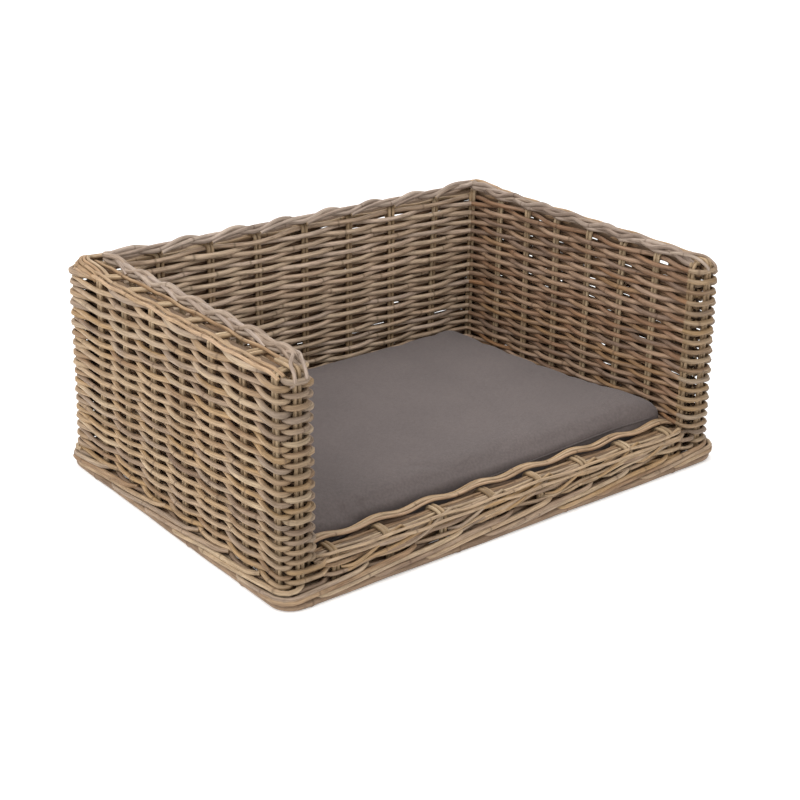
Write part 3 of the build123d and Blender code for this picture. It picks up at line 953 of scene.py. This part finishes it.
def rope(name, node, line, stops, corner_lift, ends):
    """The rolled border: two canes twisted about each other and a third that runs below them."""
    canes = Canes()
    line = np.array(line, float)
    along = distance(line)
    s = np.arange(0, along[-1], 0.005)
    base = sample(s, along, line)
    flat = np.cross(unit(np.gradient(base, axis=0)), (0, 0, 1.0))
    phase = np.interp(s, np.sort(stops), np.arange(len(stops)))
    hump = 0.5 - 0.5 * np.cos(2 * math.pi * phase)
    rise = sum(lift * np.exp(-(((s - at) / 0.035) ** 2)) for at, lift in corner_lift)
    for start, radius, size in ((0.0, 0.0043, 0.0042), (math.pi, 0.0041, 0.0043)):
        angle = math.pi * phase + start
        offset = flat * (np.cos(angle) * size)[:, None]
        offset[:, 2] += np.sin(angle) * size * 0.8 + hump * 0.0062 - 0.0010 + rise
        offset[:, 2] += 0.0005 * np.sin(s * rng.uniform(40, 70) + rng.uniform(0, 6.28))
        canes.add(base + offset, radius, tone=pick_tone())
    under = flat * (-0.0045 * np.cos(math.pi * phase * 2 + 0.7))[:, None]
    under[:, 2] += -0.0052 + 0.002 * hump + rise * 0.7
    canes.add(base + under, 0.0036, tone=pick_tone())
    for k in range(len(stops) - 1):
        s0, s1 = stops[k], stops[min(k + 2, len(stops) - 1)]
        t = np.linspace(0, 1, 26)
        at = s0 + (s1 - s0) * t
        sway = 0.0075 - 0.012 * t
        place = sample(at, s, base) + sample(at, s, flat) * (sway * ends)[:, None]
        place[:, 2] += -0.006 + 0.0112 * np.sin(math.pi * np.clip(t * 1.05, 0, 1)) ** 0.8
        place[:, 2] += np.interp(at, s, rise)
        canes.add(place, 0.0034 * rng.uniform(0.9, 1.1))
    basket_piece(canes, name, grey_cane, "border_cane", node)


rope_z = HEIGHT - 0.0095
inner_edge = INNER_X + 0.0085
for side, name in HALVES:
    start = -hy(HOOP_TOP) + HALF_SKIN
    end = INNER_BACK + HALF_SKIN + 0.004
    line = [(side * inner_edge, y, rope_z) for y in np.linspace(start + 0.014, end, 60)]
    stops = np.array([nose_y] + arm_legs(HOOP_TOP, True) + [INNER_BACK + HALF_SKIN]) - start - 0.014
    rope(
        f"{name}_arm_rope_border", f"{name}_arm_inner_border", line, stops,
        [(end - start - 0.008, 0.008), (0.0, -0.008)], side,
    )
    tails = Canes()
    mid_x = (hx(HOOP_TOP) + INNER_X) / 2
    for across, drop in ((-0.0095, 0.016), (0.0095, 0.020)):
        knots = [
            (inner_edge + across * 0.3, start + 0.060, rope_z - 0.001),
            (inner_edge + across * 0.5, start + 0.034, rope_z + 0.0035),
            (mid_x - 0.008 + across, start + 0.012, rope_z + 0.0010),
            (mid_x - 0.002 + across, start - 0.0060, rope_z - 0.009),
            (mid_x + across, start - 0.0085, rope_z - drop),
            (mid_x + across, start + 0.0030, rope_z - drop - 0.010),
        ]
        curve = spline(knots, 40)
        curve[:, 0] *= side
        tails.add(curve, 0.0026, up=(0.9, 0.1, 0.15), tone=pick_tone())
    basket_piece(tails, f"{name}_arm_rope_tails", grey_cane, "border_cane")
line = [(x, INNER_BACK + 0.0085, rope_z) for x in np.linspace(-INNER_X - 0.010, INNER_X + 0.010, 120)]
span = INNER_X + HALF_SKIN
stops = np.array([-span] + back_legs(HOOP_TOP, True) + [span]) + INNER_X + 0.010
rope("back_rope_border", "back_inner_border", line, stops, [(0.0, 0.008), (2 * INNER_X + 0.02, 0.008)], 1)

front_over = FRONT_HOOP_TOP + STAKE_R
legs = front_legs()
spacing = legs[1] - legs[0]
stops = [legs[0] - spacing] + legs + [legs[-1] + spacing]
rail_in = Canes()
for y, z0, radius, lift, sway in (
    (INNER_FRONT - 0.0022, front_over + 0.0008, 0.0027, 0.0036, 0.0010),
    (INNER_FRONT - 0.0078, front_over + 0.0024, 0.0026, 0.0034, 0.0014),
    (INNER_FRONT - 0.0134, front_over + 0.0020, 0.0025, 0.0024, 0.0012),
    (INNER_FRONT - 0.0010, front_over - 0.0042, 0.0026, 0.0030, 0.0008),
):
    end = INNER_X + 0.003
    run_rod(rail_in, (-end, y, z0), (end, y, z0), stops, radius, lift, 0.0030, sway, True)
basket_piece(rail_in, "front_rail_inner_rods", gold_cane, "border_cane", "front_rail_inner_border")
SLANTED_CANES = 12
rail_out = Canes()
for y, low, radius, extra in (
    (0.0338, 0.0082, 0.0026, 0.003),
    (0.0276, 0.0090, 0.0029, 0.003),
    (0.0212, 0.0084, 0.0026, 0.003),
    (0.0148, 0.0092, 0.0028, 0.004),
    (0.0040, 0.0036, 0.0026, 0.001),
    (0.0008, 0.0112, 0.0024, 0.001),
):
    end = INNER_X + extra
    place = -hy(FRONT_HOOP_TOP) + y
    run_rod(
        rail_out, (-end, place, front_over - low), (end, place, front_over - low),
        stops, radius * rng.uniform(0.9, 1.1), 0.0004, 0.0014, 0.0016, True,
        tuck=0.014 if y < 0.01 else 0.0,
    )
for _ in range(SLANTED_CANES):
    x0 = rng.uniform(-INNER_X - 0.02, INNER_X - 0.16)
    xs = np.linspace(x0, min(x0 + rng.uniform(0.16, 0.24), INNER_X + 0.004), 34)
    t_along = np.linspace(0, 1, 34)
    low = rng.uniform(0.030, 0.040)
    zs = low + (rng.uniform(0.054, 0.064) - low) * t_along + 0.0012 * np.sin(xs * 60)
    ys = -hy(0.05) - 0.0002 + 0.0040 * t_along + 0.009 * np.clip(abs(2 * t_along - 1) - 0.84, 0, 1) / 0.16
    rail_out.add(np.column_stack([xs, ys, zs]), rng.uniform(0.0021, 0.0027), tone=pick_tone())
for k in range(len(legs) - 1):
    across = np.linspace(0, 1, 30)
    xs = legs[k] + (legs[k + 1] - legs[k]) * (0.08 + 1.25 * across)
    xs = np.minimum(xs, INNER_X - 0.002)
    ease = across * across * (3 - 2 * across)
    ys = -hy(0.05) - 0.0010 + 0.0140 * ease**2.2
    zs = 0.040 + (front_over - 0.0005 - 0.040) * ease
    ys += 0.008 * np.clip(1 - across / 0.12, 0, 1) + 0.004 * np.clip((across - 0.9) / 0.1, 0, 1)
    zs -= 0.010 * np.clip((across - 0.9) / 0.1, 0, 1)
    rail_out.add(np.column_stack([xs, ys, zs]), 0.0025, tone=pick_tone())
basket_piece(rail_out, "front_rail_outer_rods", outer_cane, "border_cane", "front_rail_outer_border")


# ---- wale and foot ----


def wale_side(x, y):
    """The side of the base that holds this point in plan."""
    if y > hy(0) - CORNER_R:
        return "back"
    if y < -hy(0) + CORNER_R:
        return "front"
    return "left" if x < 0 else "right"


wale_line = Line(*outer_ring(FOOT_TOP))
wales = {side: Canes() for side in ("front", "back", "left", "right")}
s_start = 0.0
WALE_LOW = FOOT_TOP - 0.0045
WALE_RISE = WALE_TOP - 0.0035 - WALE_LOW
while s_start < wale_line.length - 0.03:
    reach = rng.uniform(0.235, 0.285)
    t = np.linspace(0, 1, int(reach / 0.006))
    s = s_start + t * reach
    xy, normal = wale_line.at(s)
    bulge = HALF_SKIN + 0.0030 - 0.009 * (1 - np.clip(np.minimum(t, 1 - t) / 0.10, 0, 1)) ** 2
    bulge = bulge + 0.0020 * np.sin(math.pi * t) + 0.0038 * np.clip(2 * t - 1, 0, 1)
    height = WALE_LOW + WALE_RISE * (1 - t) + 0.0008 * np.sin(s * 38 + s_start)
    points = np.column_stack([xy + normal * bulge[:, None], height])
    radius = rng.uniform(0.0035, 0.0040)
    spread(grow(points, radius, (0, 0, 1), pick_tone(), False, True, 1.07, 10), wales, xy, wale_side)
    s_start += rng.uniform(0.080, 0.100)
for side, canes in wales.items():
    basket_piece(canes, f"wale_{side}_canes", outer_cane, "weaver_cane", f"wale_{side}")

foot = Canes(14)
POLE_R = 0.0066
half_x = foot_high.x - POLE_R - 0.0015
half_y = foot_high.y - POLE_R - 0.0015
corner = FOOT_CORNER_R - POLE_R
s, xy = dense(corners(half_x, -half_y, half_y, corner, 270, -90), True)
pole = np.column_stack([xy[:-1:3], np.full(len(xy[:-1:3]), POLE_R + 0.0002)])
pole[:, 2] += 0.0006 * np.sin(np.arange(len(pole)) * 0.11)
foot.add(pole, POLE_R, closed=True, bulge=1.16)
foot.verts = [np.maximum(v, (-9, -9, 0.0)) for v in foot.verts]
basket_piece(foot, "foot_pole", foot_cane, "foot_pole", "foot_rail")


# ---- base ----

floor_low, floor_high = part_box("base_weave")
base = Canes(6)
middle = (floor_low.z + floor_high.z) / 2
ribs = np.arange(floor_low.x + 0.03, floor_high.x - 0.02, 0.052)
for x in ribs:
    ys = np.arange(floor_low.y + 0.003, floor_high.y - 0.003, 0.03)
    base.add([(x, v, middle) for v in ys], 0.0017, tone=0.6, knots=False)
for k, y in enumerate(np.arange(floor_low.y + 0.004, floor_high.y - 0.003, 0.0072)):
    xs = np.arange(floor_low.x + 0.003, floor_high.x - 0.002, 0.0105)
    lift = np.cos((xs - ribs[0]) / 0.052 * math.pi + k * math.pi)
    points = np.column_stack([xs, y + 0.0006 * np.sin(xs * 31 + k), middle + 0.0020 * lift])
    base.add(points, 0.0021, up=(0, 1, 0), knots=False)
basket_piece(base, "base_weave_canes", inner_cane, "weaver_cane", "base_weave")


# ---- frame pieces that keep their CAD shape ----


def paint(node, material):
    """Gives a CAD node that keeps its shape a material."""
    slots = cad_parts[node].data.materials
    slots.clear()
    slots.append(material)


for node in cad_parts:
    if node.endswith(("_top_rail", "_post")) or node == "base_cross_poles":
        paint(node, frame_cane)


# ---- cushion ----

SKEW = 0.042
SWELL = 0.0015
CUSHION_CORNER_R = 0.014
SEAM_RISE = 0.035
SEAM_RISE_X = 0.040
CUSHION_BULGE = 0.006
FOLDS, FOLD_HEIGHT = 9, 0.0022
FRONT_ROLL = 0.013
CORNER_LIFT = 0.006
SETTLED_DIP = 0.002
CLOTH_FRAMES = 20
MOST_MOVE = 0.007
pad_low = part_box("cushion_bottom_panel")[0]
pad_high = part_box("cushion_top_panel")[1]


def cloth_material(name, code):
    """Tight plain-woven cotton with slubs, a soft sheen and faint uneven dye."""
    look = Look(name)
    place = look.place()
    waves = []
    for direction in ("X", "Y"):
        inputs = {"Vector": place, "Scale": 330.0, "Distortion": 1.2, "Detail": 1.0, "Detail Scale": 6.0}
        wave = look.node("ShaderNodeTexWave", inputs)
        wave.bands_direction = direction
        waves.append(wave.outputs["Fac"])
    slubs = look.noise(place, 240.0, 3.0)
    dye = look.ramp(look.noise(place, 9.0, 4.0), (0.3, 0.93), (0.7, (1.06, 1.055, 1.05, 1)))
    thread = look.ramp(slubs, (0.35, 0.86), (0.65, 1.10))
    colour = look.mix("MULTIPLY", 0.7, look.mix("MULTIPLY", 1.0, linear(code), dye), thread)
    inputs = {"Base Color": colour, "Roughness": 0.92, "Specular IOR Level": 0.25}
    inputs |= {"Sheen Weight": 0.15, "Sheen Roughness": 0.5}
    return look.finish(look.math("ADD", look.math("MULTIPLY", *waves), slubs), 0.35, 0.0005, inputs)


cushion_cloth = cloth_material("cushion_cloth", "625957")
seam_cloth = cloth_material("seam_cloth", "544C4A")


def cushion_outline(inset):
    """The cushion in plan, clockwise, with rounded corners. Its right side leans in to the back."""
    low_x, high_x = pad_low.x + inset, CUSHION_BULGE - pad_low.x - inset
    low_y, high_y = pad_low.y - CUSHION_BULGE + inset, pad_high.y - inset
    corners = [(low_x, low_y), (low_x, high_y), (high_x - SKEW, high_y), (high_x, low_y)]
    radius = CUSHION_CORNER_R - inset / 2
    points = []
    for k in range(4):
        here = np.array(corners[k])
        before = np.array(corners[k - 1]) - here
        after = np.array(corners[(k + 1) % 4]) - here
        before /= np.linalg.norm(before)
        after /= np.linalg.norm(after)
        a, b = here + before * radius, here + after * radius
        for t in np.linspace(0, 1, 9):
            points.append((1 - t) ** 2 * a + 2 * t * (1 - t) * here + t**2 * b)
    return np.array(points)


def cushion_blank():
    """The cushion before it is filled: a slightly smaller closed block with a low crown."""
    outline = cushion_outline(SWELL)
    centre = outline.mean(axis=0)
    low = pad_low.z + 0.002
    high = pad_high.z - 0.002
    rings = [(0.0, low), (0.55, low), (0.95, low), (0.993, low + 0.002), (1.006, (low + high) / 2)]
    rings += [(1.006, high - 0.022), (0.996, high - 0.011), (0.975, high - 0.004), (0.93, high)]
    rings += [(0.55, high + 0.001), (0.0, high + 0.002)]
    n = len(outline)
    verts, faces = [(*centre, low)], []
    for scale, z_at in rings[1:-1]:
        verts += [(*(centre + (p - centre) * scale), z_at) for p in outline]
    verts.append((*centre, rings[-1][1]))
    for k in range(n):
        j = (k + 1) % n
        faces.append((0, 1 + k, 1 + j))
        for r in range(len(rings) - 3):
            a, b = 1 + r * n, 1 + (r + 1) * n
            faces.append((a + k, b + k, b + j, a + j))
        last = 1 + (len(rings) - 3) * n
        faces.append((last + j, last + k, len(verts) - 1))
    mesh = bpy.data.meshes.new("cushion_blank")
    mesh.from_pydata(verts, [], faces)
    return link("cushion_blank", mesh)


def apply_modifiers(obj):
    """Replaces an object's mesh by what its modifiers make of it."""
    graph = bpy.context.evaluated_depsgraph_get()
    mesh = bpy.data.meshes.new_from_object(obj.evaluated_get(graph))
    obj.modifiers.clear()
    obj.data = mesh


def vertex_places(obj):
    """The vertices of an object, one row each."""
    places = np.empty(len(obj.data.vertices) * 3, np.float32)
    obj.data.vertices.foreach_get("co", places)
    return places.reshape(-1, 3).astype(float)


def filled_cushion():
    """The blank remeshed, blown up by Blender's cloth and laid back on its flat underside."""
    obj = cushion_blank()
    remesh = obj.modifiers.new("remesh", "REMESH")
    remesh.mode = "VOXEL"
    remesh.voxel_size = 0.006
    apply_modifiers(obj)
    start = vertex_places(obj)
    cloth = obj.modifiers.new("cloth", "CLOTH")
    settings = cloth.settings
    settings.quality = 4
    settings.mass = 0.25
    settings.tension_stiffness = 18
    settings.compression_stiffness = 12
    settings.shear_stiffness = 6
    settings.bending_stiffness = 0.4
    settings.use_pressure = True
    settings.uniform_pressure_force = 4.0
    settings.shrink_min = -0.035
    settings.effector_weights.gravity = 0
    cloth.collision_settings.use_collision = False
    cloth.point_cache.frame_start = 1
    cloth.point_cache.frame_end = CLOTH_FRAMES
    for number in range(1, CLOTH_FRAMES + 1):
        bpy.context.scene.frame_set(number)
    apply_modifiers(obj)
    bpy.context.scene.frame_set(1)
    move = vertex_places(obj) - start
    size = np.linalg.norm(move, axis=1)
    move *= (np.minimum(size, MOST_MOVE) / np.maximum(size, 1e-9))[:, None]
    done = start + move
    done[:, 2] = np.maximum(done[:, 2], pad_low.z)
    done[:, 1] = np.clip(done[:, 1], pad_low.y - 0.009, pad_high.y)
    shape_cushion(done)
    obj.data.vertices.foreach_set("co", done.astype(np.float32).ravel())
    smooth = obj.modifiers.new("smooth", "SUBSURF")
    smooth.levels = 1
    smooth.render_levels = 1
    apply_modifiers(obj)
    return obj


def shape_cushion(points):
    """Soft creases along the front edge and a slight settled dip where an animal lies."""
    x, y, z_at = points[:, 0], points[:, 1], points[:, 2]
    upper = np.clip((z_at - pad_low.z - 0.045) / 0.03, 0, 1)
    local = np.random.default_rng(77)
    fold = np.zeros(len(points))
    for _ in range(FOLDS):
        cx = local.uniform(-0.10, 0.33)
        cy = pad_low.y + local.uniform(0.01, 0.05)
        turn = local.uniform(-0.5, 0.5)
        u = (x - cx) * math.cos(turn) + (y - cy) * math.sin(turn)
        v = -(x - cx) * math.sin(turn) + (y - cy) * math.cos(turn)
        fold += local.uniform(-1, 1) * np.exp(-((u / 0.045) ** 2) - (v / 0.007) ** 2)
    points[:, 2] += upper * fold * FOLD_HEIGHT
    roll = np.exp(-(((y - pad_low.y) / 0.024) ** 2)) * np.clip((0.30 - x) / 0.18, 0, 1)
    points[:, 2] -= upper * FRONT_ROLL * roll
    points[:, 2] += upper * CORNER_LIFT * np.exp(-(((x - 0.33) / 0.10) ** 2) - ((y + 0.22) / 0.08) ** 2)
    dip = np.exp(-(((x + 0.02) / 0.26) ** 2) - ((y + 0.01) / 0.17) ** 2)
    points[:, 2] -= upper * SETTLED_DIP * dip


cushion = filled_cushion()
top_seam = pad_high.z - 0.0250
bottom_seam = pad_low.z + 0.008


def slice_piece(source, name, low, high, material):
    """The part of the cushion's cover between two seams, each a height and its rises along X and Y."""
    bm = bmesh.new()
    bm.from_mesh(source.data)
    for seam, keep in ((low, 1), (high, -1)):
        if seam is None:
            continue
        z_at, rise_x, rise_y = seam
        bmesh.ops.bisect_plane(
            bm, geom=bm.verts[:] + bm.edges[:] + bm.faces[:], plane_co=(0, 0, z_at),
            plane_no=(-rise_x * keep, -rise_y * keep, keep), clear_inner=True, dist=1e-6,
        )
    mesh = bpy.data.meshes.new(name)
    bm.to_mesh(mesh)
    bm.free()
    mesh.shade_smooth()
    mesh.materials.append(material)
    return link(name, mesh)


def seam_line(source, seam):
    """Points where a seam goes round the cushion."""
    verts = [v.co.copy() for v in source.data.vertices]
    faces = [tuple(p.vertices) for p in source.data.polygons]
    tree = BVHTree.FromPolygons(verts, faces)
    z_at, rise_x, rise_y = seam
    centre = Vector((-0.02, 0.0, z_at - 0.02 * rise_x))
    s, xy = dense([tuple(p) for p in cushion_outline(-0.05)], True)
    found = []
    for x, y in xy[:-1:3]:
        origin = Vector((x, y, z_at + rise_x * x + rise_y * y))
        hit = tree.ray_cast(origin, (centre - origin).normalized())
        if hit[0] is not None:
            found.append(tuple(hit[0]))
    return np.array(found)


def welt(name, points, radius):
    """A narrow sewn ridge along a seam."""
    canes = Canes(8)
    smooth = sum(np.roll(points, k, axis=0) for k in (-2, -1, 0, 1, 2)) / 5
    canes.add(smooth, radius, closed=True, knots=False)
    return canes.build(name, seam_cloth)


upper_seam = (top_seam, SEAM_RISE_X, SEAM_RISE)
lower_seam = (bottom_seam, 0.0, 0.0)
cover_top = slice_piece(cushion, "cushion_top", upper_seam, None, cushion_cloth)
cover_band = slice_piece(cushion, "cushion_band", lower_seam, upper_seam, cushion_cloth)
cover_bottom = slice_piece(cushion, "cushion_underside", None, lower_seam, cushion_cloth)
top_welt = welt("cushion_top_seam", seam_line(cushion, upper_seam), 0.0016)
bottom_welt = welt("cushion_bottom_seam", seam_line(cushion, lower_seam), 0.0014)
bpy.data.objects.remove(cushion)
for obj, nodes in (
    (cover_top, ("cushion_top_panel", "cushion_filling")),
    (cover_band, ("cushion_side_band",)),
    (cover_bottom, ("cushion_bottom_panel",)),
    (top_welt, ()),
    (bottom_welt, ()),
):
    hand_over(obj, "cushion", "cushion_cloth", *nodes)


# ---- zip ----


def simple_material(name, code, rough, metal=0.0, scale=400.0):
    """One colour with a fine unevenness."""
    look = Look(name)
    noise = look.noise(look.place(), scale, 3.0)
    colour = look.mix("MULTIPLY", 1.0, linear(code), look.ramp(noise, (0.3, 0.8), (0.7, 1.1)))
    return look.finish(noise, 0.3, 0.0004, {"Base Color": colour, "Roughness": rough, "Metallic": metal})


zip_cloth = simple_material("zip_cloth", "4A423F", 0.9, scale=900.0)
zip_metal = simple_material("zip_metal", "9C9890", 0.35, metal=1.0, scale=120.0)
paint("cushion_zip_tape", zip_cloth)
paint("cushion_zip_slider", zip_metal)


# ---- floor, light and camera ----


FLOOR_GLOW = 0.22
SKY = 0.62
CAMERA_YAW, CAMERA_PITCH, CAMERA_ROLL = 0.6659, 0.3974, 0.013
CAMERA_PLACE = (-1.4936, -1.9107, 1.1275)
LENS = 70.48


def pale_floor():
    """A plain floor that runs up into a plain wall far behind."""
    radius, depth, width = 2.0, 4.5, 9.0
    line = [(-6.0, 0.0), (depth - radius, 0.0)]
    line += [
        (depth - radius + radius * math.sin(a), radius - radius * math.cos(a))
        for a in np.radians(np.arange(6, 91, 6))
    ]
    line += [(depth, 5.0)]
    verts = [(x, y, z_at) for y, z_at in line for x in (-width, width)]
    faces = [(2 * k, 2 * k + 1, 2 * k + 3, 2 * k + 2) for k in range(len(line) - 1)]
    mesh = bpy.data.meshes.new("floor")
    mesh.from_pydata(verts, [], faces)
    mesh.shade_smooth()
    look = Look("floor_white")
    noise = look.noise(look.place(), 3.0, 2.0)
    white = (1.0, 1.0, 1.0, 1.0)
    inputs = {"Base Color": look.ramp(noise, (0, 0.93), (1, 0.95)), "Roughness": 0.9}
    inputs |= {"Specular IOR Level": 0.1, "Emission Color": white, "Emission Strength": FLOOR_GLOW}
    for key, value in inputs.items():
        look.plug(look.shader.inputs[key], value)
    mesh.materials.append(look.material)
    obj = link("floor", mesh)
    obj.rotation_euler = (0, 0, math.radians(-37))
    return obj


pale_floor()


def area_light(name, place, aim, size, energy):
    light = bpy.data.lights.new(name, "AREA")
    light.shape = "SQUARE"
    light.size = size
    light.energy = energy
    obj = link(name, light)
    obj.location = place
    obj.rotation_euler = (Vector(aim) - Vector(place)).to_track_quat("-Z", "Y").to_euler()


area_light("key", (-3.0, -0.2, 2.8), (0, 0, 0.1), 3.2, 112)
area_light("fill", (0.4, -2.8, 3.2), (0, 0.2, 0.2), 3.0, 44)
area_light("top", (0.4, 1.0, 3.4), (0, 0, 0), 3.6, 55)

world = bpy.data.worlds.new("studio")
world.use_nodes = True
background = world.node_tree.nodes["Background"]
background.inputs[0].default_value = (1.0, 1.0, 1.0, 1.0)
background.inputs[1].default_value = SKY
bpy.context.scene.world = world
bpy.context.scene.view_settings.view_transform = "Standard"
bpy.context.scene.view_settings.look = "None"

camera = bpy.data.cameras.new("camera")
camera.sensor_width = 36.0
camera.lens = LENS
camera.clip_end = 100
eye = link("camera", camera)
level = Vector((math.cos(CAMERA_YAW), -math.sin(CAMERA_YAW), 0))
flat = Vector((math.sin(CAMERA_YAW), math.cos(CAMERA_YAW), 0))
ahead = flat * math.cos(CAMERA_PITCH) - Vector((0, 0, math.sin(CAMERA_PITCH)))
right = level * math.cos(CAMERA_ROLL) + level.cross(ahead) * math.sin(CAMERA_ROLL)
upward = right.cross(ahead)
turn = Matrix((right, upward, right.cross(upward))).transposed()
eye.matrix_world = Matrix.Translation(CAMERA_PLACE) @ turn.to_4x4()
bpy.context.scene.camera = eye
